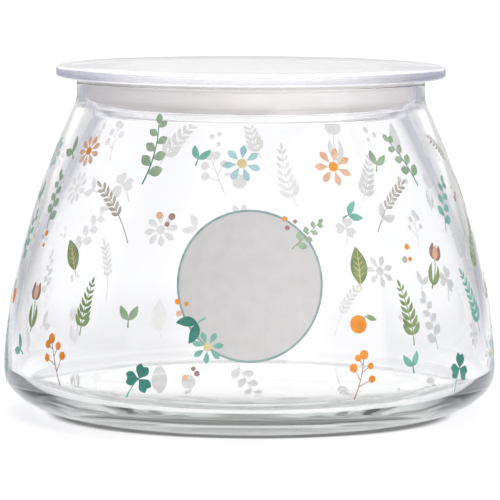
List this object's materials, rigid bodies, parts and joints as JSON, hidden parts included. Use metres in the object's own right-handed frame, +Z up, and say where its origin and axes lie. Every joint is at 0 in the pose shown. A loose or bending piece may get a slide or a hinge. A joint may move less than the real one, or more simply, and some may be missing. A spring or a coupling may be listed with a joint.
{
  "type": "glass storage jar",
  "caption": "Squat clear glass storage jar, wide and rounded at the base, closed by a clear disc lid whose plug seals in the mouth with a soft gasket.",
  "frame": {"origin": "centre of the foot, on the surface that the jar stands on", "axes": "+Z up along the jar's axis; -Y is the front, where the round label field is"},
  "size_m": [0.15, 0.15, 0.1047],
  "materials": {
    "jar_glass": "clear pressed glass, polished",
    "lid_plastic": "clear plastic, faint violet cast at the edges",
    "gasket_silicone": "off-white translucent silicone, satin"
  },
  "bodies": {
    "root": {"jar": "jar_glass", "lid": "lid_plastic", "gasket": "gasket_silicone"}
  },
  "joints": []
}
